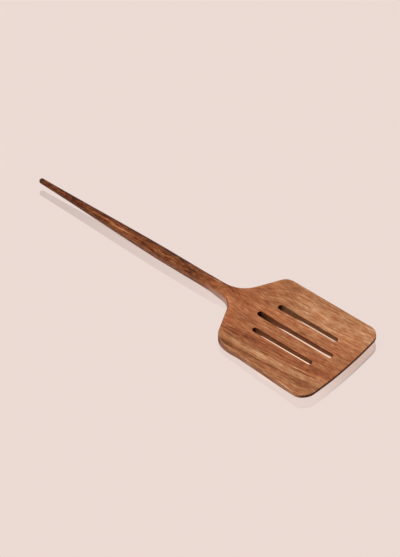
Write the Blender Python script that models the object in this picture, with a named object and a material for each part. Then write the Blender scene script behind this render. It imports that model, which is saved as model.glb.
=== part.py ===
"""Slotted wooden spatula, carved from one board of acacia.

Metres, +Z up, +X from the handle's tip to the blade's front edge. The origin is on
the flat underside, where the neck ends and the blade begins, below the handle's
centre line. Far side means +Y and near side means -Y.

The plan outline is drawn first, as straight runs joined by arcs. Three lines seen from
the side give the thickness: the ridge along the top, the rim of the top, and the
underside. Every edge is rounded over by an amount that shrinks from the oval handle
to the thin blade, and the slots are cut through last.
"""

import math

import bmesh
import bpy
import numpy as np

# Length: three stretches along the handle's centre line.
HANDLE_LENGTH = 0.1900
NECK_LENGTH = 0.0360
BLADE_LENGTH = 0.1042

# Handle: a thin tip that swells into an oval grip.
TAPER_LENGTH = 0.1340
TIP_WIDTH = 0.0044
TIP_TOP = 0.0094
TIP_UNDERSIDE = 0.0048
GRIP_WIDTH = 0.0106
GRIP_HEIGHT = 0.0121

# Blade outline: the far side runs parallel to the handle, the near side spreads.
FAR_HALF_WIDTH = 0.0450
NEAR_HALF_WIDTH = 0.0463
NEAR_SPREAD = 0.0072
FAR_SHOULDER = 0.0037
NEAR_SHOULDER = 0.0018
FAR_SHOULDER_ANGLE = math.radians(61.0)
NEAR_SHOULDER_ANGLE = math.radians(66.0)
FAR_NECK_RADIUS = 0.0300
NEAR_NECK_RADIUS = 0.0160
FAR_SHOULDER_RADIUS = 0.0120
NEAR_SHOULDER_RADIUS = 0.0180
FAR_CORNER_RADIUS = 0.0115
NEAR_CORNER_RADIUS = 0.0110
FRONT_BOW = 0.0024

# Side view of the top: the rim drops through the neck before the ridge does, and what is
# left of the ridge fades out on the blade.
RIM_DROP_START = -0.0520
RIM_DROP_LENGTH = 0.0280
RIDGE_DROP_START = -0.0340
RIDGE_DROP_LENGTH = 0.0340
RIDGE_DROP_SHARE = 0.85
RIDGE_FADE_START = -0.0100
RIDGE_FADE_LENGTH = 0.0500
FAR_FULLNESS = 3.5
NEAR_FULLNESS = 1.8
BLADE_TOP = 0.0070
FRONT_LIFT = 0.0008

# Side view of the underside: a flat heel, a scoop, then a bevel to the front edge. The
# heel ends on a slant, sooner under the near slot than under the far one.
NEAR_HEEL_LENGTH = 0.0155
FAR_HEEL_LENGTH = 0.0300
SCOOP_LENGTH = 0.0150
BLADE_THICKNESS = 0.0057
BEVEL_LENGTH = 0.0260
BEVEL_THICKNESS = 0.0051
EDGE_THICKNESS = 0.0026

# Rounded edges.
OVAL_SHARE = 0.90
SIDE_ROUND = 0.0014
FRONT_ROUND = 0.0007
UPPER_BLEND = (-0.0520, 0.0280)
LOWER_BLEND = (-0.0400, 0.0180)
SMALLEST_HALF_WIDTH = 0.0001

# Slots, parallel to the handle: the middle one is the longest.
SLOT_ROWS = (-1, 0, 1)
SLOT_WIDTH = 0.0051
SLOT_PITCH = 0.0166
SLOT_CENTRE = -0.0018
MIDDLE_SLOT_START = 0.0102
MIDDLE_SLOT_LAND = 0.0158
OUTER_SLOT_START = 0.0184
OUTER_SLOT_LAND = 0.0240
CUT_MARGIN = 0.0050

# How finely each stretch is divided.
TAPER_STEPS = 14
GRIP_STEPS = 3
NECK_STEPS = 9
SHOULDER_STEPS = 3
SHOULDER_ARC_STEPS = 5
SIDE_STEPS = 9
CORNER_STEPS = 4
FRONT_STEPS = 8
ROUND_STEPS = 4
SLOT_END_STEPS = 10

ACROSS_STEPS = 2 * CORNER_STEPS + FRONT_STEPS

TIP_X = -NECK_LENGTH - HANDLE_LENGTH
TAPER_END_X = TIP_X + TAPER_LENGTH
FRONT_X = BLADE_LENGTH
WOOD_COLOUR = (0.35, 0.14, 0.055, 1.0)
WOOD_ROUGHNESS = 0.5
SHARP_ANGLE = math.radians(40.0)


def smooth_step(x, start, length):
    """0 before start, 1 past start + length, and an S-shaped rise between them."""
    share = np.clip((x - start) / length, 0.0, 1.0)
    return share * share * (3.0 - 2.0 * share)


def handle_growth(x):
    """0 at the tip and 1 at the grip: half a straight taper and half a smooth one."""
    straight = np.clip((x - TIP_X) / TAPER_LENGTH, 0.0, 1.0)
    return 0.5 * (straight + smooth_step(x, TIP_X, TAPER_LENGTH))


def handle_half_width(x):
    """Half the handle's width, seen from above."""
    return 0.5 * (TIP_WIDTH + (GRIP_WIDTH - TIP_WIDTH) * handle_growth(x))


def top_line(x, drop):
    """Side view of the top, where the drop goes from 0 on the handle to 1 on the blade."""
    handle = TIP_TOP + (GRIP_HEIGHT - TIP_TOP) * handle_growth(x)
    blade = BLADE_TOP + FRONT_LIFT * np.maximum(x, 0.0) / BLADE_LENGTH
    return handle + (blade - handle) * drop


def rim_height(x):
    """The top's rim: it rises to the grip, falls in the neck's first part, then lifts."""
    return top_line(x, smooth_step(x, RIM_DROP_START, RIM_DROP_LENGTH))


def ridge_height(x):
    """The ridge along the top: it falls later, and its last part fades out on the blade."""
    drop = RIDGE_DROP_SHARE * smooth_step(x, RIDGE_DROP_START, RIDGE_DROP_LENGTH)
    fade = (1.0 - RIDGE_DROP_SHARE) * smooth_step(x, RIDGE_FADE_START, RIDGE_FADE_LENGTH)
    return top_line(x, drop + fade)


def underside_height(x, y):
    """The underside: raised tip, flat grip and heel, scoop, then bevel."""
    handle = TIP_UNDERSIDE * (1.0 - handle_growth(x))
    stations = (FAR_HEEL_LENGTH, FRONT_X - BEVEL_LENGTH, FRONT_X)
    thickness = np.interp(x, stations, (BLADE_THICKNESS, BEVEL_THICKNESS, EDGE_THICKNESS))
    blade = rim_height(x) - thickness
    slots_y = (SLOT_CENTRE - SLOT_PITCH, SLOT_CENTRE + SLOT_PITCH)
    heel_length = np.interp(y, slots_y, (NEAR_HEEL_LENGTH, FAR_HEEL_LENGTH))
    return handle + (blade - handle) * smooth_step(x, heel_length, SCOOP_LENGTH)


def edge_rounding(outline, blend):
    """How far in, and how far down or up, the rounded edge reaches at each place.

    Along the handle it takes nearly half the width and height, which gives the oval.
    Over the blend it shrinks to the small rounding of the blade's sides and front.
    """
    x, y = outline[:, 0], outline[:, 1]
    height = rim_height(x) - underside_height(x, y)
    oval = 1.0 - smooth_step(x, *blend)
    front = smooth_step(x, FRONT_X - BEVEL_LENGTH, BEVEL_LENGTH)
    small = SIDE_ROUND + (FRONT_ROUND - SIDE_ROUND) * front
    small_rise = np.minimum(small, 0.5 * OVAL_SHARE * height)
    inset = oval * OVAL_SHARE * handle_half_width(x) + (1.0 - oval) * small
    rise = oval * 0.5 * OVAL_SHARE * height + (1.0 - oval) * small_rise
    return inset, rise


def straight_run(start, end, steps):
    """Points from start to end, without the two ends."""
    share = np.linspace(0.0, 1.0, steps + 1)[1:-1, None]
    return start + (end - start) * share


def rounded_corner(corner, angle_in, angle_out, radius, steps):
    """Arc of the given radius that rounds a corner between two straight directions."""
    turn = angle_out - angle_in
    side = math.copysign(1.0, turn)
    reach = radius * math.tan(0.5 * abs(turn))
    start = corner - reach * np.array((math.cos(angle_in), math.sin(angle_in)))
    centre = start + side * radius * np.array((-math.sin(angle_in), math.cos(angle_in)))
    angles = angle_in + turn * np.linspace(0.0, 1.0, steps + 1)
    spokes = np.stack((np.sin(angles), -np.cos(angles)), axis=1)
    return centre + side * radius * spokes


def side_outline(
        half_width, shoulder_x, angle, neck_radius, shoulder_radius, corner_radius, spread=0.0):
    """One side seen from above, from the tip to past the front corner, as +Y values.

    The blade's side moves outwards by the spread on its way from shoulder to front.
    Returns the side up to the middle of the corner's arc, and the rest of that arc.
    """
    taper_x = np.linspace(TIP_X + 0.5 * TIP_WIDTH, TAPER_END_X, TAPER_STEPS + 1)
    taper = np.stack((taper_x, handle_half_width(taper_x)), axis=1)
    side_angle = math.atan2(spread, FRONT_X - shoulder_x)
    shoulder = np.array((shoulder_x, half_width))
    rise = half_width - 0.5 * GRIP_WIDTH
    neck = shoulder - np.array((rise / math.tan(angle), rise))
    front = np.array((FRONT_X, half_width + spread))
    neck_arc = rounded_corner(neck, 0.0, angle, neck_radius, NECK_STEPS)
    shoulder_arc = rounded_corner(
        shoulder, angle, side_angle, shoulder_radius, SHOULDER_ARC_STEPS)
    corner_arc = rounded_corner(
        front, side_angle, -0.5 * math.pi, corner_radius, 2 * CORNER_STEPS)
    side = np.concatenate((
        taper,
        straight_run(taper[-1], neck_arc[0], GRIP_STEPS),
        neck_arc,
        straight_run(neck_arc[-1], shoulder_arc[0], SHOULDER_STEPS),
        shoulder_arc,
        straight_run(shoulder_arc[-1], corner_arc[0], SIDE_STEPS),
        corner_arc[:CORNER_STEPS + 1],
    ))
    return side, corner_arc[CORNER_STEPS:]


def closed_outline():
    """Far side, front edge, near side and tip as one closed run, clockwise from above."""
    far, far_corner = side_outline(
        FAR_HALF_WIDTH, FAR_SHOULDER, FAR_SHOULDER_ANGLE, FAR_NECK_RADIUS,
        FAR_SHOULDER_RADIUS, FAR_CORNER_RADIUS)
    near, near_corner = side_outline(
        NEAR_HALF_WIDTH, NEAR_SHOULDER, NEAR_SHOULDER_ANGLE, NEAR_NECK_RADIUS,
        NEAR_SHOULDER_RADIUS, NEAR_CORNER_RADIUS, spread=NEAR_SPREAD)
    mirror = np.array((1.0, -1.0))
    near = near * mirror
    near_corner = near_corner * mirror
    front = np.concatenate((
        far_corner[1:],
        straight_run(far_corner[-1], near_corner[-1], FRONT_STEPS),
        near_corner[:0:-1],
    ))
    turn = np.linspace(-0.5 * math.pi, -1.5 * math.pi, ACROSS_STEPS + 1)[1:-1]
    centre = np.array((TIP_X + 0.5 * TIP_WIDTH, 0.0))
    tip = centre + 0.5 * TIP_WIDTH * np.stack((np.cos(turn), np.sin(turn)), axis=1)
    return np.concatenate((far, front, near[::-1], tip)), len(far)


def outward_normals(outline):
    """Unit normals of a closed clockwise run, pointing to its left, which is outside."""
    along = np.roll(outline, -1, axis=0) - np.roll(outline, 1, axis=0)
    normals = np.stack((-along[:, 1], along[:, 0]), axis=1)
    return normals / np.linalg.norm(normals, axis=1, keepdims=True)


def fill_grid(rim, side_count):
    """Points across the board between the two sides, a grid of stations by places.

    Each place is a fixed share of the way from the near side to the far side. Near the
    front and the tip the rows bend to meet the curved ends of the outline.
    """
    far = rim[:side_count]
    front = rim[side_count - 1:side_count + ACROSS_STEPS][::-1]
    near = rim[side_count + ACROSS_STEPS - 1:2 * side_count + ACROSS_STEPS - 1][::-1]
    tip = np.concatenate((near[:1], rim[2 * side_count + ACROSS_STEPS - 1:], far[:1]))
    share = (front[:, 1] - front[0, 1]) / (front[-1, 1] - front[0, 1])
    across = near[:, None] + (far - near)[:, None] * share[None, :, None]
    bend = smooth_step(far[:, 0], FRONT_X - BEVEL_LENGTH, far[-1, 0] - FRONT_X + BEVEL_LENGTH)
    across += (front - across[-1])[None] * (bend ** 2)[:, None, None]
    across[0] = tip
    return across


def top_height(x, y, side_y):
    """Height of the top, which falls from the ridge to the rim on its way to each side.

    The fall is share ** fullness, where the share is the distance from the centre line
    over that of the side. The far flank is full and the near one hollow.
    """
    share = np.clip(np.abs(y) / np.maximum(np.abs(side_y), SMALLEST_HALF_WIDTH), 0.0, 1.0)
    fall = share ** np.where(y > 0.0, FAR_FULLNESS, NEAR_FULLNESS)
    return ridge_height(x) + (rim_height(x) - ridge_height(x)) * fall


def build_body():
    """Skin of the whole spatula: a top grid, an underside grid and a rounded edge band."""
    outline, side_count = closed_outline()
    rim_count = len(outline)
    normals = outward_normals(outline)
    upper_inset, upper_rise = edge_rounding(outline, UPPER_BLEND)
    lower_inset, lower_rise = edge_rounding(outline, LOWER_BLEND)
    top_plan = fill_grid(outline - normals * upper_inset[:, None], side_count)
    low_plan = fill_grid(outline - normals * lower_inset[:, None], side_count)

    # The band leaves the top grid, rounds over, drops down the wall and rounds under.
    quarter = np.linspace(0.0, 0.5 * math.pi, ROUND_STEPS + 1)
    drawn_in = np.concatenate((1.0 - np.sin(quarter), 1.0 - np.cos(quarter)))[1:-1]
    drop = np.concatenate((1.0 - np.cos(quarter), 1.0 - np.sin(quarter)))[1:-1]
    is_top = np.arange(2 * ROUND_STEPS) < ROUND_STEPS
    inset = np.where(is_top, upper_inset[:, None], lower_inset[:, None])
    rise = np.where(is_top, upper_rise[:, None], lower_rise[:, None])
    band = outline[:, None] - normals[:, None] * (inset * drawn_in)[:, :, None]
    band_x, band_y = band[:, :, 0], band[:, :, 1]
    band_top = top_height(band_x, band_y, outline[:, 1:]) - rise * drop
    band_low = underside_height(band_x, band_y) + rise * drop
    band_z = np.where(is_top, band_top, band_low)

    far_y = outline[:side_count, 1:]
    near_y = outline[side_count + ACROSS_STEPS - 1:2 * side_count + ACROSS_STEPS - 1, 1:][::-1]
    grid_x, grid_y = top_plan[:, :, 0], top_plan[:, :, 1]
    grid_z = top_height(grid_x, grid_y, np.where(grid_y > 0.0, far_y, near_y))
    top = np.dstack((top_plan, grid_z)).reshape(-1, 3)
    low_z = underside_height(low_plan[:, :, 0], low_plan[:, :, 1])
    low = np.dstack((low_plan, low_z)).reshape(-1, 3)
    wall = np.dstack((band, band_z)).reshape(-1, 3)
    points = np.concatenate((top, low, wall))
    bend = smooth_step(points[:, 0], FRONT_X - BEVEL_LENGTH, BEVEL_LENGTH)
    points[:, 0] -= FRONT_BOW * (points[:, 1] / FAR_HALF_WIDTH) ** 2 * bend

    # Numbers of the points: both grids by station and place, and the band by rim point.
    grid = np.arange(len(top)).reshape(side_count, ACROSS_STEPS + 1)
    edge = np.concatenate((
        grid[:, -1], grid[-1, -2:0:-1], grid[::-1, 0], grid[0, 1:-1]))
    between = 2 * len(top) + np.arange(len(wall)).reshape(rim_count, -1)
    strip = np.concatenate((edge[:, None], between, edge[:, None] + len(top)), axis=1)
    strip = np.concatenate((strip, strip[:1]))
    top_faces = quads(grid)
    low_faces = quads(grid + len(top))[:, ::-1]
    wall_faces = quads(strip)
    faces = np.concatenate((top_faces, low_faces, wall_faces))

    mesh = bpy.data.meshes.new("spatula")
    mesh.from_pydata(points.tolist(), [], faces.tolist())
    mesh.validate()
    mesh.shade_smooth()
    mesh.set_sharp_from_angle(angle=SHARP_ANGLE)
    body = bpy.data.objects.new("spatula", mesh)
    bpy.context.collection.objects.link(body)
    return body


def quads(numbers):
    """Four-sided faces of a grid of point numbers, in the order row, then column."""
    corners = (numbers[:-1, :-1], numbers[1:, :-1], numbers[1:, 1:], numbers[:-1, 1:])
    return np.stack(corners, axis=-1).reshape(-1, 4)


def slot_cutter(row):
    """Upright block with round ends that cuts one slot, longest in the middle row."""
    start = MIDDLE_SLOT_START if row == 0 else OUTER_SLOT_START
    land = MIDDLE_SLOT_LAND if row == 0 else OUTER_SLOT_LAND
    radius = 0.5 * SLOT_WIDTH
    slot_y = SLOT_CENTRE + row * SLOT_PITCH
    turn = np.linspace(-0.5 * math.pi, 0.5 * math.pi, SLOT_END_STEPS + 1)
    cap = radius * np.stack((np.cos(turn), np.sin(turn)), axis=1)
    front_end = np.array((FRONT_X - land - radius, slot_y)) + cap
    heel_end = np.array((start + radius, slot_y)) - cap
    block = bmesh.new()
    floor = -CUT_MARGIN
    corners = [block.verts.new((x, y, floor)) for x, y in np.concatenate((front_end, heel_end))]
    base = block.faces.new(corners)
    grown = bmesh.ops.extrude_face_region(block, geom=[base])["geom"]
    lid = [item for item in grown if isinstance(item, bmesh.types.BMVert)]
    bmesh.ops.translate(block, verts=lid, vec=(0.0, 0.0, GRIP_HEIGHT + 2.0 * CUT_MARGIN))
    bmesh.ops.recalc_face_normals(block, faces=block.faces)
    mesh = bpy.data.meshes.new("slot_cutter")
    block.to_mesh(mesh)
    block.free()
    cutter = bpy.data.objects.new("slot_cutter", mesh)
    cutter.hide_render = True
    cutter.display_type = "WIRE"
    bpy.context.collection.objects.link(cutter)
    return cutter


def oiled_wood():
    """Reddish brown oiled acacia."""
    material = bpy.data.materials.new("oiled_wood")
    material.use_nodes = True
    shader = material.node_tree.nodes["Principled BSDF"]
    shader.inputs["Base Color"].default_value = WOOD_COLOUR
    shader.inputs["Roughness"].default_value = WOOD_ROUGHNESS
    shader.inputs["Metallic"].default_value = 0.0
    return material


def build_spatula():
    """The carved body with its slots cut through."""
    body = build_body()
    body.data.materials.append(oiled_wood())
    for row in SLOT_ROWS:
        cut = body.modifiers.new("slot", "BOOLEAN")
        cut.operation = "DIFFERENCE"
        cut.solver = "EXACT"
        cut.object = slot_cutter(row)
    return body


for old_object in list(bpy.data.objects):
    bpy.data.objects.remove(old_object, do_unlink=True)
build_spatula()
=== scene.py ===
import math

import bpy
import numpy as np
from mathutils import Matrix, Vector


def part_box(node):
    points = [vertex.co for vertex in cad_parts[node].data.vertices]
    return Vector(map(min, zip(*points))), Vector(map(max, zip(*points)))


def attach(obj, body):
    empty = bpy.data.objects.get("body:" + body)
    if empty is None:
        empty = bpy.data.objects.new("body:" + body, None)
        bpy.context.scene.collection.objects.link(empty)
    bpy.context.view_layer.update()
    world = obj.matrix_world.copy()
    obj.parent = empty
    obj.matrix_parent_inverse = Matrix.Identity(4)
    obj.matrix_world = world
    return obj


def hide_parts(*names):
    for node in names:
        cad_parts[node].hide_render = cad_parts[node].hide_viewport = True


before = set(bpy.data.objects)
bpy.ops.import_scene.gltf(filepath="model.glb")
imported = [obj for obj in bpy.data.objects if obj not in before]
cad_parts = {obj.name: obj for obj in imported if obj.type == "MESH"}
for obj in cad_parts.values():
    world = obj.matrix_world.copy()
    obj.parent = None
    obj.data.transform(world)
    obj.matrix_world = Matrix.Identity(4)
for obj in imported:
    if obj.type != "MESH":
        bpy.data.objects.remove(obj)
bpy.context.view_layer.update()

# The view: a long lens, 6 m away, looks down at 46 degrees from the near side of the
# blade. Lengths in this script are millimetres unless a name says otherwise.
MM = 0.001
VIEW_AZIMUTH = math.radians(39.85)
VIEW_ELEVATION = math.radians(46.0)
VIEW_DISTANCE = 6000.0
PIXELS_PER_MM = 1.220
IMAGE_SIZE = np.array((400.0, 557.0))
SENSOR = 36.0
CLIP_NEAR = 100.0
CLIP_FAR = 100000.0
# A point inside the grip's end, and the pixel where the photograph shows it.
AIM_POINT = np.array((-48.2, -0.58, 6.5))
AIM_PIXEL = np.array((204.0, 279.45))

right = np.array((math.cos(VIEW_AZIMUTH), math.sin(VIEW_AZIMUTH), 0.0))
forward = np.array((
    -math.cos(VIEW_ELEVATION) * math.sin(VIEW_AZIMUTH),
    math.cos(VIEW_ELEVATION) * math.cos(VIEW_AZIMUTH),
    -math.sin(VIEW_ELEVATION)))
upward = np.cross(right, forward)
aside, above = (AIM_PIXEL - 0.5 * IMAGE_SIZE) / PIXELS_PER_MM
eye = AIM_POINT - VIEW_DISTANCE * forward - aside * right + above * upward

lens = bpy.data.cameras.new("camera")
lens.sensor_fit = "AUTO"
lens.sensor_width = SENSOR
lens.lens = SENSOR * PIXELS_PER_MM * VIEW_DISTANCE / IMAGE_SIZE.max()
lens.clip_start = CLIP_NEAR * MM
lens.clip_end = CLIP_FAR * MM
camera = bpy.data.objects.new("camera", lens)
axes = np.eye(4)
axes[:3, 0] = right
axes[:3, 1] = upward
axes[:3, 2] = -forward
axes[:3, 3] = eye * MM
camera.matrix_world = Matrix(axes.tolist())
bpy.context.scene.collection.objects.link(camera)
bpy.context.scene.camera = camera
bpy.context.scene.view_settings.view_transform = "Standard"

# The spatula: one board of acacia, sawn to its outline, thinned and rounded over by
# hand, with three slots routed through the blade. It stands for the CAD node.
low, high = (np.array(corner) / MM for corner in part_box("spatula"))
TIP_X = low[0]
FRONT_X = high[0]
GRIP_HEIGHT = high[2]
FAR_HALF_WIDTH = high[1]
TAPER_LENGTH = 134.0
TIP_WIDTH = 4.4
TIP_TOP = 9.4
TIP_UNDERSIDE = 4.8
GRIP_WIDTH = 10.6
ARC_STEPS = 48


def smooth_step(x, start, length):
    """0 before start, 1 past start + length, and an S-shaped rise between them."""
    share = np.clip((x - start) / length, 0.0, 1.0)
    return share * share * (3.0 - 2.0 * share)


def handle_growth(x):
    """0 at the tip and 1 at the grip: half a straight taper and half a smooth one."""
    straight = np.clip((x - TIP_X) / TAPER_LENGTH, 0.0, 1.0)
    return 0.5 * (straight + smooth_step(x, TIP_X, TAPER_LENGTH))


def handle_half_width(x):
    """Half the handle's width, seen from above."""
    return 0.5 * (TIP_WIDTH + (GRIP_WIDTH - TIP_WIDTH) * handle_growth(x))


def bend_between(corner, angle_in, angle_out, radius):
    """Arc that rounds the corner between two straight directions, as points on it."""
    turn = angle_out - angle_in
    side = math.copysign(1.0, turn)
    reach = radius * math.tan(0.5 * abs(turn))
    start = corner - reach * np.array((math.cos(angle_in), math.sin(angle_in)))
    centre = start + side * radius * np.array((-math.sin(angle_in), math.cos(angle_in)))
    angles = angle_in + turn * np.linspace(0.0, 1.0, ARC_STEPS + 1)
    return centre + side * radius * np.stack((np.sin(angles), -np.cos(angles)), axis=1)


def side_run(half_width, shoulder_x, angle, neck_radius, shoulder_radius, corner_radius, spread):
    """One side seen from above, as +Y values: handle, neck arc, shoulder arc, blade side.

    Returns the run up to the middle of the front corner's arc, and the rest of the arc.
    """
    taper_x = np.linspace(TIP_X + 0.5 * TIP_WIDTH, TIP_X + TAPER_LENGTH, 2 * ARC_STEPS + 1)
    taper = np.stack((taper_x, handle_half_width(taper_x)), axis=1)
    side_angle = math.atan2(spread, FRONT_X - shoulder_x)
    shoulder = np.array((shoulder_x, half_width))
    rise = half_width - 0.5 * GRIP_WIDTH
    neck = shoulder - np.array((rise / math.tan(angle), rise))
    front = np.array((FRONT_X, half_width + spread))
    corner = bend_between(front, side_angle, -0.5 * math.pi, corner_radius)
    middle = len(corner) // 2
    run = np.concatenate((
        taper,
        bend_between(neck, 0.0, angle, neck_radius),
        bend_between(shoulder, angle, side_angle, shoulder_radius),
        corner[:middle + 1],
    ))
    return run, corner[middle:]


far_run, far_corner = side_run(
    half_width=FAR_HALF_WIDTH, shoulder_x=3.7, angle=math.radians(61.0), neck_radius=30.0,
    shoulder_radius=10.0, corner_radius=11.5, spread=0.0)
near_run, near_corner = side_run(
    half_width=46.3, shoulder_x=1.8, angle=math.radians(66.0), neck_radius=16.0,
    shoulder_radius=18.0, corner_radius=11.0, spread=7.2)
# Sanding by hand left the near side fuller past its shoulder, and less so to the front.
NEAR_FULLNESS = 1.4
fullness = NEAR_FULLNESS * smooth_step(near_run[:, 0], 10.0, 20.0)
near_run[:, 1] += fullness * np.clip((100.0 - near_run[:, 0]) / 90.0, 0.0, 1.0)

# Slots, from near to far: the middle one starts sooner and ends nearer the front than the
# outer two. The router left a small round on their rims.
SLOT_WIDTHS = (4.7, 5.1, 5.1)
SLOT_RIM = 0.2
SLOT_CENTRES = (-18.3, -1.8, 14.8)
SLOT_STARTS = (18.4, 10.2, 18.4)
SLOT_ENDS = (80.2, 88.4, 80.2)

# Stations along the board, as runs of a start, an end and a step: closer together at the
# shoulders and at the slots' round ends, where the two outer slots share theirs.
STATION_RUNS = (
    (TIP_X + 3.0, -44.0, 2.2), (-44.0, -14.0, 1.0), (-14.0, 9.2, 0.5), (13.8, 17.2, 0.8),
    (22.2, 76.8, 1.5), (81.6, 84.8, 0.8))
LAST_STATIONS = (89.6, 90.6)
quarter = 1.0 - np.cos(np.linspace(0.0, 0.5 * math.pi, 9))
station_parts = [np.arange(*run) for run in STATION_RUNS]
for start, end, width in zip(SLOT_STARTS[:2], SLOT_ENDS[:2], SLOT_WIDTHS[:2]):
    station_parts.append(start - SLOT_RIM + (0.5 * width + SLOT_RIM) * quarter)
    station_parts.append(end + SLOT_RIM - (0.5 * width + SLOT_RIM) * quarter)
station_parts.append(np.array(LAST_STATIONS))
stations = np.unique(np.concatenate(station_parts).round(5))
# Steps past the last station and before the first, and of the strips from near to far.
FRONT_STEPS = 12
TIP_STEPS = 6
ROWS = (24, 8, 8, 22)


def points_along(run, share):
    """Points that lie the given shares of the way along a run, by its length."""
    distance = np.concatenate(([0.0], np.cumsum(np.hypot(*np.diff(run, axis=0).T))))
    wanted = distance[-1] * share
    return np.stack([np.interp(wanted, distance, run[:, axis]) for axis in (0, 1)], axis=1)


def whole_side(run):
    """The side from the tip's arc to the middle of the front corner, one point a station."""
    start = TIP_X + 0.5 * TIP_WIDTH
    angles = np.linspace(0.75 * math.pi, 0.5 * math.pi, 13)
    arc = 0.5 * TIP_WIDTH * np.stack((np.cos(angles), np.sin(angles)), axis=1)
    arc[:, 0] += start
    along = np.stack((stations, np.interp(stations, run[:, 0], run[:, 1])), axis=1)
    before = run[(run[:, 0] > start) & (run[:, 0] < stations[0])]
    past = run[run[:, 0] > stations[-1]]
    tip_part = points_along(
        np.concatenate((arc, before, along[:1])), np.linspace(0.0, 1.0, TIP_STEPS + 1))
    front_part = points_along(
        np.concatenate((along[-1:], past)), np.linspace(0.0, 1.0, FRONT_STEPS + 1))
    return np.concatenate((tip_part[:-1], along, front_part[1:]))


flipped = np.array((1.0, -1.0))
far_side = whole_side(far_run)
near_side = whole_side(near_run) * flipped
last = len(far_side) - 1 - FRONT_STEPS


def slot_opening(x, start, end, width):
    """Half the width between a slot's rims at each x: half circles at its two ends."""
    middle = np.clip(x, start + 0.5 * width, end - 0.5 * width)
    return np.sqrt(np.clip((0.5 * width + SLOT_RIM) ** 2 - (x - middle) ** 2, 0.0, None))


def rows_across(x, near_y, far_y):
    """The rows' y at each station, in strips that part at the slots.

    On the handle a slot's line keeps its share of the width, and on the blade its place.
    Each strip runs evenly from one line to the next, less half the slot's opening.
    """
    on_blade = smooth_step(x, -14.0, 23.0)
    strips = []
    lower = near_y
    slots = zip(SLOT_CENTRES, SLOT_STARTS, SLOT_ENDS, SLOT_WIDTHS, ROWS)
    for centre, start, end, width, rows in slots:
        share = (centre - near_y.min()) / (far_y.max() - near_y.min())
        on_handle = near_y + (far_y - near_y) * share
        line = on_handle + (centre - on_handle) * on_blade
        opening = slot_opening(x, start, end, width)
        strips.append(np.linspace(lower, line - opening, rows + 1, axis=1))
        lower = line + opening
    strips.append(np.linspace(lower, far_y, ROWS[-1] + 1, axis=1))
    return np.concatenate(strips, axis=1)


# The side view: the blade's top rises to the front, and its thickness falls.
BLADE_TOP = 7.0
FRONT_LIFT = 0.8
NEAR_HEEL_LENGTH = 15.5
FAR_HEEL_LENGTH = 30.0
SCOOP_LENGTH = 15.0
BEVEL_LENGTH = 26.0
BLADE_THICKNESS = 5.7
BEVEL_THICKNESS = 5.1
EDGE_THICKNESS = 2.9
# The top drops from handle to blade as pairs of a start and a length: first at the rim,
# then at the ridge, whose last part fades out on the blade.
RIM_DROP = (-52.0, 28.0)
RIDGE_DROP = (-34.0, 34.0)
RIDGE_FADE = (-10.0, 50.0)
RIDGE_FADE_SHARE = 0.15


def side_y(x, run):
    """Where a side lies at each x, with the tip's half circle before the handle's start."""
    start = TIP_X + 0.5 * TIP_WIDTH
    tip = np.sqrt(np.clip((0.5 * TIP_WIDTH) ** 2 - (x - start) ** 2, 0.0, None))
    return np.where(x < start, tip, np.interp(x, run[:, 0], run[:, 1]))


def top_line(x, drop):
    """Side view of the top, where the drop goes from 0 on the handle to 1 on the blade."""
    handle = TIP_TOP + (GRIP_HEIGHT - TIP_TOP) * handle_growth(x)
    blade = BLADE_TOP + FRONT_LIFT * np.maximum(x, 0.0) / FRONT_X
    return handle + (blade - handle) * drop


def rim_height(x):
    """The top's height at both sides: it drops in the first part of the neck."""
    return top_line(x, smooth_step(x, *RIM_DROP))


def top_height(x, y):
    """The top: a ridge that drops later than the rim and fades out on the blade.

    Across, the height is ridge + (rim - ridge) * |y / half width| ** power, with a low
    power on the near side, whose flank is hollow, and a high one on the full far side.
    """
    drop = (1.0 - RIDGE_FADE_SHARE) * smooth_step(x, *RIDGE_DROP)
    ridge = top_line(x, drop + RIDGE_FADE_SHARE * smooth_step(x, *RIDGE_FADE))
    half_width = np.where(y > 0.0, side_y(x, far_run), side_y(x, near_run))
    across = np.clip(np.abs(y) / np.maximum(half_width, 0.1), 0.0, 1.0)
    return ridge + (rim_height(x) - ridge) * across ** np.where(y > 0.0, 3.5, 1.8)


def underside_height(x, y):
    """The underside: raised tip, flat grip and heel, shallow scoop, then the bevel.

    The heel ends on a slant, sooner under the near slot than under the far one.
    """
    handle = TIP_UNDERSIDE * (1.0 - handle_growth(x))
    thins_at = (FAR_HEEL_LENGTH, FRONT_X - BEVEL_LENGTH, FRONT_X)
    thickness = np.interp(x, thins_at, (BLADE_THICKNESS, BEVEL_THICKNESS, EDGE_THICKNESS))
    blade = rim_height(x) - thickness
    heel_length = np.interp(
        y, (SLOT_CENTRES[0], SLOT_CENTRES[-1]), (NEAR_HEEL_LENGTH, FAR_HEEL_LENGTH))
    return handle + (blade - handle) * smooth_step(x, heel_length, SCOOP_LENGTH)


# Rounded edges: the handle's take most of its half width and half height. The blade's are
# small, smaller at the front, and a little larger at the near front corner, which is worn.
# Past the hand-over angle they leave the sheets for the band that goes round the rim.
OVAL_SHARE = 0.90
SIDE_ROUND = 0.8
FRONT_ROUND = 0.4
CORNER_EXTRA = 0.4
LARGEST_SHARE_OF_HEIGHT = 0.45
LOWER_TIGHTENING = (-40.0, 18.0)
HAND_OVER = math.radians(50.0)


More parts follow.
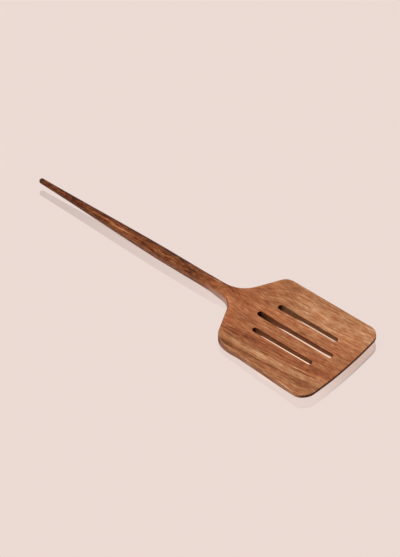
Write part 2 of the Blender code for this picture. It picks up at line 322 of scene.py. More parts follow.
def edge_rounding(x, y, start, length):
    """How far in and how far down a rounded edge reaches, and how oval it is.

    It is oval up to start, where oval is 1, and small past start + length, where it is 0.
    """
    height = rim_height(x) - underside_height(x, y)
    oval = 1.0 - smooth_step(x, start, length)
    towards_front = smooth_step(x, FRONT_X - BEVEL_LENGTH, BEVEL_LENGTH)
    at_near_corner = smooth_step(x, FRONT_X - 14.0, 12.0) * smooth_step(-y, 18.0, 22.0)
    small = SIDE_ROUND + (FRONT_ROUND - SIDE_ROUND) * towards_front
    small = small + CORNER_EXTRA * at_near_corner
    small_down = np.minimum(small, LARGEST_SHARE_OF_HEIGHT * height)
    reach_in = oval * OVAL_SHARE * handle_half_width(x) + (1.0 - oval) * small
    reach_down = oval * 0.5 * OVAL_SHARE * height + (1.0 - oval) * small_down
    return reach_in, reach_down, oval


def upper_rounding(x, y):
    """The upper edge's rounding: it tightens first, as the rim drops."""
    return edge_rounding(x, y, *RIM_DROP)


def lower_rounding(x, y):
    """The lower edge's rounding: it tightens nearer the blade."""
    return edge_rounding(x, y, *LOWER_TIGHTENING)


# The columns of a row. Each slot has two, its near rim and, at pairs, its far rim, which
# are one point where the slot isn't open. Single leaves out the second of each two, and
# doubled gives every column's place in single.
columns = sum(ROWS) + len(ROWS)
pairs = np.cumsum(np.array(ROWS) + 1)[:-1]
single = np.delete(np.arange(columns), pairs)
doubled = np.repeat(np.arange(len(single)), 1 + np.isin(single, pairs - 1))


def shares(row):
    """How far across each row lies at one station, from 0 at the near rim to 1."""
    return (row - row[0]) / (row[-1] - row[0])


# The outline as one closed run, clockwise from above: far side, front, near side, tip.
last_row = rows_across(stations[-1:], near_side[last:last + 1, 1], far_side[last:last + 1, 1])[0]
front_line = points_along(
    np.concatenate((near_corner * flipped, far_corner[::-1])), shares(last_row)[single])
tip_angles = np.linspace(-0.75 * math.pi, -1.25 * math.pi, 2 * ARC_STEPS + 1)
tip_arc = np.stack((np.cos(tip_angles), np.sin(tip_angles)), axis=1)
tip_arc = np.array((TIP_X + 0.5 * TIP_WIDTH, 0.0)) + 0.5 * TIP_WIDTH * tip_arc
tip_line = points_along(tip_arc, shares(last_row)[single])
outline = np.concatenate((far_side, front_line[-2:0:-1], near_side[::-1], tip_line[1:-1]))
ahead = np.roll(outline, -1, axis=0) - np.roll(outline, 1, axis=0)
outward = np.stack((-ahead[:, 1], ahead[:, 0]), axis=1)
outward /= np.linalg.norm(outward, axis=1, keepdims=True)
upper_in, upper_down, oval = upper_rounding(*outline.T)
lower_in, lower_down, _ = lower_rounding(*outline.T)
inset = upper_in * (1.0 - np.sin(oval * HAND_OVER))
rim = outline - outward * inset[:, None]
far_end, front_end, near_end = np.cumsum((len(far_side), len(single) - 2, len(near_side)))
far_rim = rim[:far_end]
near_rim = rim[front_end:near_end][::-1]
front_rim = np.concatenate((near_rim[-1:], rim[far_end:front_end][::-1], far_rim[-1:]))
tip_rim = np.concatenate((near_rim[:1], rim[near_end:], far_rim[:1]))


def coons(start, end, near, far, share):
    """Patch between four edges: the sum of the two straight blends less the corners'."""
    t = np.linspace(0.0, 1.0, len(near))[:, None, None]
    s = share[None, :, None]
    sides = (1.0 - s) * near[:, None] + s * far[:, None]
    ends = (1.0 - t) * start[None] + t * end[None]
    start_corners = (1.0 - s) * near[0] + s * far[0]
    end_corners = (1.0 - s) * near[-1] + s * far[-1]
    return sides + ends - ((1.0 - t) * start_corners + t * end_corners)


# The plan: every row's place at every station. Rows keep their station's x inside and
# take the rim's own x at the two sides.
SIDE_PULL = 4
at_stations = slice(TIP_STEPS, last + 1)
row_y = rows_across(stations, near_rim[at_stations, 1], far_rim[at_stations, 1])
across_row = (row_y - row_y[:, :1]) / (row_y[:, -1:] - row_y[:, :1])
near_shift = near_rim[at_stations, :1] - stations[:, None]
far_shift = far_rim[at_stations, :1] - stations[:, None]
row_x = stations[:, None] + (1.0 - across_row) ** SIDE_PULL * near_shift
row_x += across_row ** SIDE_PULL * far_shift
straight_part = np.dstack((row_x, row_y))
front_patch = coons(
    straight_part[-1], front_rim[doubled], near_rim[last:], far_rim[last:], shares(row_y[-1]))
tip_patch = coons(
    straight_part[0], tip_rim[doubled], near_rim[TIP_STEPS::-1], far_rim[TIP_STEPS::-1],
    shares(row_y[0]))
plan = np.concatenate((tip_patch[:0:-1], straight_part, front_patch[1:]))

# Both sheets. On the handle and neck the roundings reach well into them.
plan_x, plan_y = plan[:, :, 0], plan[:, :, 1]
start_x = TIP_X + 0.5 * TIP_WIDTH
plan_side = np.where(plan_y > 0.0, side_y(plan_x, far_run), side_y(plan_x, near_run))
to_tip = 0.5 * TIP_WIDTH - np.hypot(np.minimum(plan_x - start_x, 0.0), plan_y)
inward = np.where(plan_x < start_x, to_tip, plan_side - np.abs(plan_y))


def taken(rounding):
    """What a rounding takes off its sheet: an ellipse's fall at each distance from the side."""
    across, down, _ = rounding(plan_x, plan_y)
    sine = np.clip(1.0 - inward / across, 0.0, 1.0)
    return down * (1.0 - np.sqrt(1.0 - sine ** 2))


top_sheet = np.dstack((plan, top_height(plan_x, plan_y) - taken(upper_rounding)))
low_sheet = np.dstack((plan, underside_height(plan_x, plan_y) + taken(lower_rounding)))

# The band round the rim: the rest of the upper rounding, the wall, and the lower one.
ROUND_STEPS = 6
BAND_STEPS = 2 * ROUND_STEPS
fraction = np.arange(1, ROUND_STEPS + 1) / ROUND_STEPS
upper = np.arange(BAND_STEPS) < ROUND_STEPS


def round_off(reach_in, reach_down, share):
    """How far in from the side and how far down each of a rounding's points is."""
    first = np.arcsin(1.0 - inset / reach_in)[:, None]
    angle = first + (0.5 * math.pi - first) * share
    return reach_in[:, None] * (1.0 - np.sin(angle)), reach_down[:, None] * (1.0 - np.cos(angle))


upper_back, upper_fall = round_off(upper_in, upper_down, fraction)
lower_back, lower_fall = round_off(lower_in, lower_down, fraction[::-1])
back = np.concatenate((upper_back, lower_back), axis=1)
band_plan = outline[:, None] - outward[:, None] * back[:, :, None]
band_x, band_y = band_plan[:, :, 0], band_plan[:, :, 1]
fall = np.concatenate((upper_fall, lower_fall), axis=1)
band_low = underside_height(band_x, band_y) + fall
band_height = np.where(upper, top_height(band_x, band_y) - fall, band_low)
band = np.dstack((band_plan, band_height))

# A slot's wall runs down from the upper rim to the lower one, rounded at both. Its
# points go round the slot, along the near rim and back along the far one. Where the slot
# isn't open, both its columns use the near one's points.
slot_angle = 0.5 * math.pi * np.concatenate((fraction, fraction[::-1]))
opening = np.zeros((len(plan), len(pairs)))
opening[at_stations] = slot_opening(
    stations[:, None], *(np.array(values) for values in (SLOT_STARTS, SLOT_ENDS, SLOT_WIDTHS)))
grid = np.arange(plan_x.size).reshape(plan_x.shape)
grid[:, pairs] = np.where(opening > 0.0, grid[:, pairs], grid[:, pairs - 1])


def slot_wall(k):
    """Numbers of the rim points round slot k, and the wall's points below each of them."""
    inside = np.flatnonzero(opening[:, k])
    ends = np.array((inside[0] - 1, inside[-1] + 1))
    near = grid[inside, pairs[k] - 1]
    far = grid[inside[::-1], pairs[k]]
    loop = np.concatenate((grid[ends[:1], pairs[k]], near, grid[ends[1:], pairs[k]], far))
    at = plan.reshape(-1, 2)[loop]
    half = 0.5 * SLOT_WIDTHS[k]
    spine = np.clip(at[:, 0], SLOT_STARTS[k] + half, SLOT_ENDS[k] - half)
    away = at - np.stack((spine, np.full(len(at), SLOT_CENTRES[k])), axis=1)
    away /= np.linalg.norm(away, axis=1, keepdims=True)
    wall = at[:, None] - away[:, None] * (SLOT_RIM * np.sin(slot_angle))[None, :, None]
    fall = SLOT_RIM * (1.0 - np.cos(slot_angle))
    wall_x, wall_y = wall[:, :, 0], wall[:, :, 1]
    low_height = underside_height(wall_x, wall_y) + fall
    height = np.where(upper, top_height(wall_x, wall_y) - fall, low_height)
    return loop, np.dstack((wall, height))


def quads(numbers):
    """Four-sided faces of a grid of point numbers, in the order row, then column."""
    corners = (numbers[:-1, :-1], numbers[1:, :-1], numbers[1:, 1:], numbers[:-1, 1:])
    return np.stack(corners, axis=-1).reshape(-1, 4)


def wall_faces(loop, first_number, steps):
    """Faces of a closed wall: the upper rim's points, those of the wall, the lower rim's."""
    between = first_number + np.arange(len(loop) * steps).reshape(len(loop), steps)
    strip = np.concatenate((loop[:, None], between, loop[:, None] + plan_x.size), axis=1)
    return quads(np.concatenate((strip, strip[:1])))


strips = np.split(np.arange(columns), pairs)
top_faces = np.concatenate([quads(grid[:, strip]) for strip in strips])
rim_loop = np.concatenate((
    grid[:, -1], grid[-1, single[-2:0:-1]], grid[::-1, 0], grid[0, single[1:-1]]))
band_start = 2 * plan_x.size
walls_start = band_start + len(outline) * BAND_STEPS
points = [top_sheet.reshape(-1, 3), low_sheet.reshape(-1, 3), band.reshape(-1, 3)]
faces = [
    top_faces, top_faces[:, ::-1] + plan_x.size, wall_faces(rim_loop, band_start, BAND_STEPS)]
for k in range(len(SLOT_CENTRES)):
    loop, wall = slot_wall(k)
    faces.append(wall_faces(loop, sum(len(part) for part in points), BAND_STEPS))
    points.append(wall.reshape(-1, 3))
used, faces = np.unique(np.concatenate(faces), return_inverse=True)
points = np.concatenate(points)[used]
board_x, board_y = points[:, 0].copy(), points[:, 1].copy()

# What the finish needs to know of each point: routed is 1 on the slots' walls. The edge
# mask is 1 on the blade's upper edge along the near side and the front, where a highlight
# is painted, and -1 along the far side, where shade is painted.
# The neck mask is 1 on the near wall of the neck, where a glare is painted. A band's rows
# count down from its upper rounding.
NOT_ON_BAND = 99
routed = used >= walls_start
on_band = (used >= band_start) & ~routed
band_row = np.where(on_band, (used - band_start) % BAND_STEPS, NOT_ON_BAND)
at_front = smooth_step(board_x, FRONT_X - 16.0, 8.0)
far_share = (1.0 - at_front) * smooth_step(board_y, -35.0, 55.0)
far_share += at_front * smooth_step(board_y, 28.0, 12.0)
edge_highlight_shade = np.clip((5.0 - band_row) / 3.0, 0.0, 1.0) * smooth_step(board_x, -50.0, 30.0)
edge_highlight_shade *= 1.0 - 2.0 * far_share
painted_neck_glare = smooth_step(board_x, -46.0, 14.0) * (1.0 - smooth_step(board_x, -16.0, 9.0))
painted_neck_glare *= (board_y < 0.0) * (band_row > 3) * (band_row < 10)

# The front edge is planed to a slight bow.
FRONT_BOW = 2.4
bow = FRONT_BOW * (board_y / FAR_HALF_WIDTH) ** 2
points[:, 0] -= bow * smooth_step(board_x, FRONT_X - BEVEL_LENGTH, BEVEL_LENGTH)
points_m = np.clip(points, low, high) * MM

mesh = bpy.data.meshes.new("spatula_wood")
mesh.from_pydata(points_m.tolist(), [], faces.reshape(-1, 4).tolist())
mesh.shade_smooth()
for name, values in (("routed", routed), ("edge_highlight_shade", edge_highlight_shade), ("painted_neck_glare", painted_neck_glare)):
    attribute = mesh.attributes.new(name, "FLOAT", "POINT")
    attribute.data.foreach_set("value", values.astype(np.float32))
spatula = bpy.data.objects.new("spatula_wood", mesh)
bpy.context.scene.collection.objects.link(spatula)
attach(spatula, "root")
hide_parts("spatula")

# Oiled acacia, sanded and rubbed with oil: reddish brown, with straw and dark lines. Its
# growth layers are rings about an axis beside and below the board, so they come out as
# nearly straight lines. A tone, from dark vein to straw, and a share of gold colour it.
RING_AXIS_Y = 45.0
RING_AXIS_Z = -55.0
BLADE_LEVEL = BLADE_TOP + 0.5 * FRONT_LIFT
GRAIN_CURVE = 0.0006


def linear(code):
    """Linear colour of an sRGB hex code."""
    parts = np.array([int(code[k:k + 2], 16) / 255.0 for k in (0, 2, 4)])
    parts = np.where(parts <= 0.04045, parts / 12.92, ((parts + 0.055) / 1.055) ** 2.4)
    return (*parts.tolist(), 1.0)


def ring_radius(y):
    """Radius of the growth layer that comes out at this y on the flat of the blade."""
    return math.hypot(y - RING_AXIS_Y, BLADE_LEVEL - RING_AXIS_Z)


def add(tree, kind, inputs=(), out=0, **settings):
    """Adds a node with its settings, fills or links its inputs and returns one output."""
    node = tree.nodes.new(kind)
    for name, value in settings.items():
        setattr(node, name, value)
    for key, value in dict(inputs).items() if isinstance(inputs, dict) else enumerate(inputs):
        if isinstance(value, bpy.types.NodeSocket):
            tree.links.new(value, node.inputs[key])
        elif value is not None:
            node.inputs[key].default_value = value
    return node.outputs[out]


def set_stops(output, stops):
    """Gives the colour ramp behind an output its stops: pairs of a position and a colour."""
    elements = output.node.color_ramp.elements
    elements[0].position = stops[0][0]
    elements[1].position = stops[-1][0]
    for position, _ in stops[1:-1]:
        elements.new(position)
    for element, (_, colour) in zip(elements, stops):
        element.color = colour


acacia = bpy.data.materials.new("oiled_acacia")
acacia.use_nodes = True
wood = acacia.node_tree
wood.nodes.clear()
wood_m = add(wood, "ShaderNodeTexCoord", out=3)
wood_mm = add(wood, "ShaderNodeVectorMath", (wood_m, (1.0 / MM,) * 3), operation="MULTIPLY")
wood_split = add(wood, "ShaderNodeSeparateXYZ", (wood_mm,)).node.outputs
x_mm, y_mm, z_mm = wood_split[0], wood_split[1], wood_split[2]

# All the figure is a little stronger on the handle than on the blade.
figure = add(wood, "ShaderNodeMapRange", (x_mm, -10.0, -50.0, 1.0, 1.1))


def unevenness(at, size, detail):
    """Noise with spots of the given size, as it is, and as a swing about 0 by the figure."""
    spot = add(wood, "ShaderNodeVectorMath", (at, size), operation="DIVIDE")
    noise = add(wood, "ShaderNodeTexNoise", {"Vector": spot, "Scale": 1.0, "Detail": detail})
    swing = add(wood, "ShaderNodeMath", (noise, 0.5), operation="SUBTRACT")
    return noise, add(wood, "ShaderNodeMath", (swing, figure), operation="MULTIPLY")


# Lines curve towards the far side as they near the front, and wander a little.
past_neck = add(wood, "ShaderNodeMath", (x_mm, 0.0), operation="MAXIMUM")
square = add(wood, "ShaderNodeMath", (past_neck, past_neck), operation="MULTIPLY")
curved_y = add(wood, "ShaderNodeMath", (square, -GRAIN_CURVE, y_mm), operation="MULTIPLY_ADD")
for size, reach in (((55.0, 20.0, 20.0), 2.6), ((14.0, 4.0, 4.0), 0.6)):
    _, wander = unevenness(wood_mm, size, 1.0)
    curved_y = add(wood, "ShaderNodeMath", (wander, reach, curved_y), operation="MULTIPLY_ADD")
on_board = add(wood, "ShaderNodeCombineXYZ", (x_mm, curved_y, 0.0))

# Its far lines fan out from the neck into the blade, as round a knot beside it.
ROUND_RADIUS = 80.0
fan = add(wood, "ShaderNodeMapRange", (x_mm, 27.0, -14.0, 0.0, 1.15))
fan = add(wood, "ShaderNodeMath", (fan, fan), operation="MULTIPLY")
on_far_half = add(wood, "ShaderNodeMapRange", (curved_y, -8.0, 6.0, 0.0, 1.0))
fan = add(wood, "ShaderNodeMath", (fan, on_far_half, 1.0), operation="MULTIPLY_ADD")
fanned_y = add(wood, "ShaderNodeMath", (curved_y, fan), operation="MULTIPLY")
from_axis_y = add(wood, "ShaderNodeMath", (fanned_y, RING_AXIS_Y), operation="SUBTRACT")
from_axis_z = add(wood, "ShaderNodeMath", (z_mm, RING_AXIS_Z), operation="SUBTRACT")
spoke = add(wood, "ShaderNodeCombineXYZ", (from_axis_y, from_axis_z, 0.0))
radius = add(wood, "ShaderNodeVectorMath", (spoke,), operation="LENGTH", out=1)
angle_round = add(wood, "ShaderNodeMath", (from_axis_y, from_axis_z), operation="ARCTAN2")
round_mm = add(wood, "ShaderNodeMath", (angle_round, ROUND_RADIUS), operation="MULTIPLY")
grain = add(wood, "ShaderNodeCombineXYZ", (x_mm, radius, round_mm))

# The layers: where each comes out on the blade, from near to far, its tone and its gold.
layers = (
    (-53.0, 0.54, 0.90), (-49.0, 0.55, 0.90), (-47.2, 0.60, 0.90), (-45.6, 0.52, 0.80),
    (-44.2, 0.44, 0.50), (-43.0, 0.46, 0.70), (-41.8, 0.62, 1.00), (-39.4, 0.70, 1.00),
    (-37.4, 0.69, 1.00), (-35.8, 0.67, 0.90), (-34.9, 0.50, 0.50), (-33.4, 0.56, 0.40),
    (-31.0, 0.47, 0.10), (-27.0, 0.47, 0.00), (-22.5, 0.53, 0.10), (-17.0, 0.58, 0.20),
    (-8.0, 0.59, 0.30), (0.0, 0.58, 0.20), (8.0, 0.65, 0.40), (16.0, 0.66, 0.60),
    (22.0, 0.68, 0.85), (32.0, 0.68, 0.80))
innermost, outermost = ring_radius(40.0), ring_radius(layers[0][0])
at_layer = add(wood, "ShaderNodeMapRange", (radius, outermost, innermost, 0.0, 1.0))
layer = add(wood, "ShaderNodeValToRGB", (at_layer,))
set_stops(layer, [
    ((outermost - ring_radius(y)) / (outermost - innermost), (*tone_and_gold, 0.0, 1.0))
    for y, *tone_and_gold in layers])
layer_split = add(wood, "ShaderNodeSeparateColor", (layer,)).node.outputs
tone, gold = layer_split[0], layer_split[1]

# Streaks along the layers, from broad to fine: length, thickness and width, and strength.
# Then the pores, short dark flecks. The real ones are under half a millimetre wide, and
# they are drawn at 0.65 mm, as coarse as they need to show.
for size, strength in (
        ((120.0, 7.0, 30.0), 0.22), ((60.0, 2.2, 9.0), 0.27), ((40.0, 0.95, 4.0), 0.42),
        ((24.0, 0.55, 2.4), 0.58)):
    _, streak = unevenness(grain, size, 2.0)
    tone = add(wood, "ShaderNodeMath", (streak, strength, tone), operation="MULTIPLY_ADD")
pores, fleck = unevenness(wood_mm, (5.5, 0.65, 0.65), 1.0)
tone = add(wood, "ShaderNodeMath", (fleck, 0.85, tone), operation="MULTIPLY_ADD")

# The handle is darker than the blade from the neck on. Past the grip its far side is
# painted darker still and its near side lighter: painted shade and painted light.
on_handle = add(
    wood, "ShaderNodeMapRange", (x_mm, -6.0, -66.0, 0.0, 1.0), interpolation_type="SMOOTHSTEP")
tone = add(wood, "ShaderNodeMath", (on_handle, -0.36, tone), operation="MULTIPLY_ADD")
gold = add(wood, "ShaderNodeMath", (on_handle, 0.15, gold), operation="MULTIPLY_ADD")
painted_near_light_far_shade = add(wood, "ShaderNodeMapRange", (curved_y, -5.5, 3.6, 0.17, -0.17))
past_grip = add(wood, "ShaderNodeMapRange", (x_mm, -12.0, -44.0, 0.0, 1.0))
tone = add(wood, "ShaderNodeMath", (painted_near_light_far_shade, past_grip, tone), operation="MULTIPLY_ADD")

# Marks on this board: centre, half length and half width of a soft ellipse along the
# grain, and what it adds to the tone. All are the wood's own but the last, which is painted
# shade along the handle's far side by the neck.
marks = (
    ((9.0, -42.2), (17.0, 3.4), -0.19),
    ((36.0, -42.8), (24.0, 1.2), -0.24),
    ((56.0, -41.2), (14.0, 1.0), -0.20),
    ((70.0, -43.4), (17.0, 1.1), -0.18),
    ((87.0, -42.6), (14.0, 2.8), -0.24),
    ((34.0, -37.0), (34.0, 1.3), 0.14),
    ((66.0, -35.4), (24.0, 1.1), 0.14),
    ((7.0, -34.7), (12.0, 1.0), -0.22),
    ((14.0, -44.8), (10.0, 1.0), -0.12),
    ((20.0, -46.8), (20.0, 1.5), 0.14),
    ((44.0, -48.2), (26.0, 1.2), 0.12),
    ((77.0, -31.6), (15.0, 1.0), -0.34),
    ((78.0, -29.6), (18.0, 1.2), 0.26),
    ((96.0, -26.6), (12.0, 1.6), 0.12),
    ((28.0, -27.5), (46.0, 7.5), -0.08),
    ((6.0, -14.0), (16.0, 9.0), -0.10),
    ((8.0, -31.8), (17.0, 1.1), -0.12),
    ((22.0, -28.6), (15.0, 1.0), -0.09),
    ((46.0, -33.2), (18.0, 1.3), -0.12),
    ((9.0, -29.8), (8.0, 1.1), 0.16),
    ((23.0, -31.2), (12.0, 1.1), 0.14),
    ((33.0, -25.2), (7.0, 1.1), 0.14),
    ((53.0, -28.2), (9.0, 1.0), 0.14),
    ((25.0, -10.0), (11.0, 6.0), 0.10),
    ((50.0, -9.4), (18.0, 3.2), 0.11),
    ((5.0, 2.6), (10.0, 3.4), 0.12),
    ((33.0, 11.6), (9.0, 1.0), 0.16),
    ((58.0, 27.0), (24.0, 5.2), 0.09),
    ((38.0, 35.0), (8.0, 5.0), 0.13),
    ((36.0, 22.4), (14.0, 2.2), 0.11),
    ((70.0, 20.6), (15.0, 1.3), 0.18),
    ((92.0, 34.0), (12.0, 4.0), 0.10),
    ((75.0, 36.6), (17.0, 2.8), -0.12),
    ((92.0, 27.0), (12.0, 4.0), -0.11),
    ((6.0, 40.0), (20.0, 6.0), -0.18),
    ((-2.0, 25.0), (8.0, 11.0), -0.10),
    ((12.0, 32.0), (26.0, 18.0), -0.17),
    ((-192.0, 0.0), (13.0, 40.0), -0.10),
    ((-226.0, 0.0), (7.0, 40.0), -0.26),
    ((-150.0, -1.3), (15.0, 1.0), 0.40),
    ((-136.0, -2.3), (17.0, 1.0), 0.40),
    ((-119.0, -2.6), (14.0, 1.1), 0.20),
    ((-88.0, -3.0), (22.0, 1.0), 0.14),
    ((-28.0, -3.0), (9.0, 2.2), 0.10),
    ((-25.0, 4.0), (15.0, 6.0), -0.16),
    # Painted shade along the handle's far side by the neck, not a mark of the wood.
    ((-44.0, 3.4), (22.0, 2.6), -0.40),
)


def out_from(tree, at, centre, half_size):
    """How far out from a centre: 0 there and 1 on an ellipse of the given half axes."""
    offset = add(tree, "ShaderNodeVectorMath", (at, (*centre, 0.0)), operation="SUBTRACT")
    share = add(tree, "ShaderNodeVectorMath", (offset, (*half_size, 1.0)), operation="DIVIDE")
    return add(tree, "ShaderNodeVectorMath", (share,), operation="LENGTH", out=1)


def soft_ellipse(centre, half_size):
    """1 at a place on the board, falling smoothly to 0 at an ellipse round it."""
    centre_y = centre[1] - GRAIN_CURVE * max(centre[0], 0.0) ** 2
    out = out_from(wood, on_board, (centre[0], centre_y), half_size)
    return add(
        wood, "ShaderNodeMapRange", (out, 1.0, 0.0, 0.0, 1.0), interpolation_type="SMOOTHSTEP")


for centre, half_size, amount in marks:
    soft = soft_ellipse(centre, half_size)
    tone = add(wood, "ShaderNodeMath", (soft, amount, tone), operation="MULTIPLY_ADD")

# The wood is darker and redder where the neck spreads into the blade's far half.
spread = soft_ellipse((-5.0, 12.0), (27.0, 24.0))
tone = add(wood, "ShaderNodeMath", (spread, -0.13, tone), operation="MULTIPLY_ADD")
gold = add(wood, "ShaderNodeMath", (spread, -0.90, gold), operation="MULTIPLY_ADD")

# Blotches of gold and red, broad ones and some a few millimetres across.
for size, to_gold, to_tone in (((30.0, 13.0, 13.0), 1.8, -0.30), ((9.0, 4.5, 4.5), 1.4, 0.30)):
    _, blotch = unevenness(wood_mm, size, 2.0)
    gold = add(wood, "ShaderNodeMath", (blotch, to_gold, gold), operation="MULTIPLY_ADD")
    tone = add(wood, "ShaderNodeMath", (blotch, to_tone, tone), operation="MULTIPLY_ADD")

# The blade's underside is painted lighter towards the front where it faces down: painted
# light from below, as its reflection shows. Its upper edge has a painted highlight along
# the near side and the front, and painted shade along the far side.
facing = add(wood, "ShaderNodeTexCoord", out=1)
facing_split = add(wood, "ShaderNodeSeparateXYZ", (facing,)).node.outputs
underside_painted_light = add(wood, "ShaderNodeMapRange", (facing_split[2], -0.4, -0.8, 0.0, 0.24))
near_front = add(wood, "ShaderNodeMapRange", (x_mm, 30.0, 70.0, 0.0, 1.0))
tone = add(wood, "ShaderNodeMath", (underside_painted_light, near_front, tone), operation="MULTIPLY_ADD")
# Painted highlight on the near and front upper edge, painted shade on the far one.
edge_light_paint = add(wood, "ShaderNodeAttribute", out=2, attribute_name="edge_highlight_shade")
tone = add(wood, "ShaderNodeMath", (edge_light_paint, 0.18, tone), operation="MULTIPLY_ADD")

# The colours of each tone, in wood that is all red and in wood that is all gold.
red_wood = add(wood, "ShaderNodeValToRGB", (tone,))
set_stops(red_wood, [
    (0.00, linear("2e1006")), (0.15, linear("5a270b")), (0.30, linear("7f411b")),
    (0.45, linear("9f5a33")), (0.60, linear("b16c41")), (0.75, linear("c17e50")),
    (0.88, linear("d09567")), (1.00, linear("ddaa7c"))])
golden_wood = add(wood, "ShaderNodeValToRGB", (tone,))
set_stops(golden_wood, [
    (0.00, linear("321507")), (0.15, linear("5e3312")), (0.30, linear("824c22")),
    (0.45, linear("9b623b")), (0.60, linear("ad754b")), (0.75, linear("bf8a5f")),
    (0.88, linear("d1a179")), (1.00, linear("e0b590"))])
gold = add(wood, "ShaderNodeClamp", (gold,))
colour = add(
    wood, "ShaderNodeMix", {0: gold, 6: red_wood, 7: golden_wood}, out=2, data_type="RGBA")

# End grain drinks more oil, so the front edge, the tip and the slots' ends are dark, and
# their dark is partly painted shade. The slots' walls are darkened all over as painted
# shade, most of all at their ends.
facing_along = add(wood, "ShaderNodeMath", (facing_split[0],), operation="ABSOLUTE")
end_grain = add(
    wood, "ShaderNodeMapRange", (facing_along, 0.25, 0.60, 0.0, 1.0),
    interpolation_type="SMOOTHSTEP")
colour = add(
    wood, "ShaderNodeMix", {0: end_grain, 6: colour, 7: linear("5a240b")}, out=2, data_type="RGBA")
routed_wall = add(wood, "ShaderNodeAttribute", out=2, attribute_name="routed")
# Painted shade on the slots' walls: a darkening, deepest at their ends.
slot_shade_share = add(wood, "ShaderNodeMath", (end_grain, 0.40, 0.48), operation="MULTIPLY_ADD")
slot_shade_share = add(wood, "ShaderNodeMath", (slot_shade_share, routed_wall), operation="MULTIPLY")
colour = add(
    wood, "ShaderNodeMix", {0: slot_shade_share, 6: colour, 7: linear("3a1404")}, out=2, data_type="RGBA")

# The near wall of the neck is painted pale and grey: a painted glare, standing in for the
# bright floor mirrored at a grazing angle.
neck_glare_mask = add(wood, "ShaderNodeAttribute", out=2, attribute_name="painted_neck_glare")
glare_share = add(wood, "ShaderNodeMath", (neck_glare_mask, 0.75), operation="MULTIPLY")
colour = add(
    wood, "ShaderNodeMix", {0: glare_share, 6: colour, 7: linear("c9aa9b")}, out=2,
    data_type="RGBA")

# The rubbed oil shines a little on the blade, and less on the handle, the end grain and
# the slots' walls. The open pores are felt as a fine roughness.
PORE_DEPTH = 0.06
rough = add(wood, "ShaderNodeMath", (on_handle, 0.10, 0.38), operation="MULTIPLY_ADD")
rough = add(wood, "ShaderNodeMath", (end_grain, 0.25, rough), operation="MULTIPLY_ADD")
rough = add(wood, "ShaderNodeMath", (routed_wall, 0.40, rough), operation="MULTIPLY_ADD")
relief = add(
    wood, "ShaderNodeBump", {"Strength": 0.5, "Distance": PORE_DEPTH * MM, "Height": pores})
surface = add(wood, "ShaderNodeBsdfPrincipled", {
    "Base Color": colour, "Roughness": rough, "IOR": 1.5, "Specular IOR Level": 0.35,
    "Normal": relief})
add(wood, "ShaderNodeOutputMaterial", (surface,), out=slice(0))
mesh.materials.append(acacia)

# The floor: a plain pale pink acrylic sheet, polished enough to mirror the tool faintly.
# It glows, so that the light on it stays even and the tool's shadow faint.
FLOOR_COLOUR = linear("ecdbd4")
FLOOR_HALF_WIDTH = 4000.0
FLOOR_DROP = 0.05
FLOOR_GLOW = 0.96
HEEL_GLOW = 0.05
floor_mesh = bpy.data.meshes.new("floor")
floor_corners = FLOOR_HALF_WIDTH * np.array(((-1.0, -1.0), (1.0, -1.0), (1.0, 1.0), (-1.0, 1.0)))
floor_points_m = np.insert(floor_corners, 2, -FLOOR_DROP, axis=1) * MM
floor_mesh.from_pydata(floor_points_m.tolist(), [], [(0, 1, 2, 3)])
floor = bpy.data.objects.new("floor", floor_mesh)
bpy.context.scene.collection.objects.link(floor)
pink = bpy.data.materials.new("pale_pink_acrylic")
pink.use_nodes = True
sheet = pink.node_tree
sheet.nodes.clear()
floor_m = add(sheet, "ShaderNodeTexCoord", out=3)
floor_mm = add(sheet, "ShaderNodeVectorMath", (floor_m, (1.0 / MM,) * 3), operation="MULTIPLY")
floor_split = add(sheet, "ShaderNodeSeparateXYZ", (floor_mm,)).node.outputs
floor_x, floor_y = floor_split[0], floor_split[1]

# The glow is nearly out where the heel lies on the sheet: a painted contact shadow. Under
# the blade it is warmer, and brighter on the near side and past the slots' ends: painted
# light, which also lights the blade's underside. It is a little dimmer under the far side:
# painted shade.
from_heel = out_from(sheet, floor_mm, (9.0, -1.0), (14.0, 34.0))
glow_share = add(sheet, "ShaderNodeMapRange", (from_heel, 0.8, 1.0, HEEL_GLOW, FLOOR_GLOW))
from_blade = out_from(sheet, floor_mm, (58.0, -2.0), (42.0, 50.0))
under_blade = add(sheet, "ShaderNodeMapRange", (from_blade, 0.85, 1.0, 1.0, 0.0))
across_slots = add(sheet, "ShaderNodeMapRange", (floor_y, -20.0, 20.0, 0.30, -0.15))
past_slots = add(sheet, "ShaderNodeMapRange", (floor_x, 87.0, 91.0, 0.0, 0.25))
lit_below = add(sheet, "ShaderNodeMath", (across_slots, past_slots))
lit_below = add(sheet, "ShaderNodeMath", (lit_below, under_blade, 1.0), operation="MULTIPLY_ADD")
glow_share = add(sheet, "ShaderNodeMath", (glow_share, lit_below), operation="MULTIPLY")
glow_colour = add(
    sheet, "ShaderNodeMix", {0: under_blade, 6: FLOOR_COLOUR, 7: linear("f5d4bd")}, out=2,
    data_type="RGBA")
glow = add(sheet, "ShaderNodeEmission", (glow_colour, glow_share))
matt_colour = (*((1.0 - FLOOR_GLOW) * part for part in FLOOR_COLOUR[:3]), 1.0)
matt = add(sheet, "ShaderNodeBsdfDiffuse", (matt_colour,))
pink_body = add(sheet, "ShaderNodeAddShader", (glow, matt))

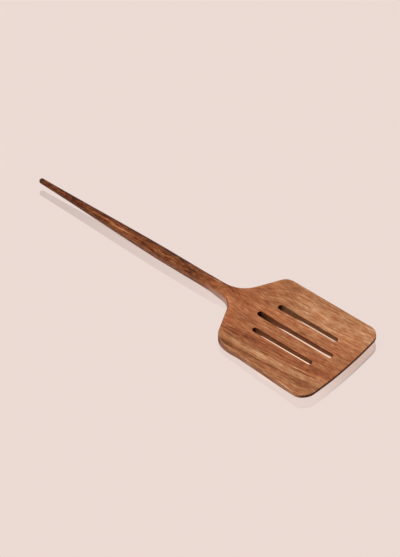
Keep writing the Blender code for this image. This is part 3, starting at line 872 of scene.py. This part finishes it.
# The sheet mirrors most clearly under the far part of the front edge, and next towards
# the handle's tip.
MIRROR_ROUGHNESS = 0.03
mirror = add(sheet, "ShaderNodeBsdfAnisotropic", ((1.0, 1.0, 1.0, 1.0), MIRROR_ROUGHNESS))
from_edge = out_from(sheet, floor_mm, (104.0, 22.0), (17.0, 64.0))
mirror_share = add(sheet, "ShaderNodeMapRange", (from_edge, 1.0, 0.2, 0.095, 0.45))
under_handle = add(sheet, "ShaderNodeMapRange", (floor_x, -10.0, -190.0, 0.0, 0.16))
mirror_share = add(sheet, "ShaderNodeMath", (mirror_share, under_handle))
polished = add(sheet, "ShaderNodeMixShader", (mirror_share, pink_body, mirror))
add(sheet, "ShaderNodeOutputMaterial", (polished,), out=slice(0))
floor_mesh.materials.append(pink)

# Light: a dim pale room, a broad round panel high behind the object, which the floor and
# the blade's top mirror, and a broad soft key 56 degrees up on the handle's side.
ROOM_LEVEL = 0.35
PANEL_DISTANCE = 5000.0
world = bpy.data.worlds.new("room")
world.use_nodes = True
world.node_tree.nodes["Background"].inputs[0].default_value = FLOOR_COLOUR
world.node_tree.nodes["Background"].inputs[1].default_value = ROOM_LEVEL
bpy.context.scene.world = world


def add_panel(name, direction, width, radiance, colour):
    """A round area light that faces the origin, with the radiance its face should have.

    Its power is radiance times pi times its area.
    """
    width_m = width * MM
    light = bpy.data.lights.new(name, "AREA")
    light.shape = "DISK"
    light.size = width_m
    light.energy = radiance * math.pi * 0.25 * math.pi * width_m ** 2
    light.color = colour[:3]
    panel = bpy.data.objects.new(name, light)
    toward = Vector(direction).normalized()
    turned = toward.to_track_quat("Z", "Y").to_matrix().to_4x4()
    panel.matrix_world = Matrix.Translation(toward * PANEL_DISTANCE * MM) @ turned
    bpy.context.scene.collection.objects.link(panel)
    return panel


# The room shows through the panels, so with it the first one mirrors at just the floor's
# own level. Nothing mirrors the key, which the floor would show as a white patch from
# other sides.
add_panel("mirrored_panel", (-0.445, 0.533, 0.719), 3400.0, 1.0 - ROOM_LEVEL, FLOOR_COLOUR)
key = add_panel("key_panel", (-0.55, -0.08, 0.83), 4200.0, 4.9, linear("fff8f2"))
key.visible_glossy = False
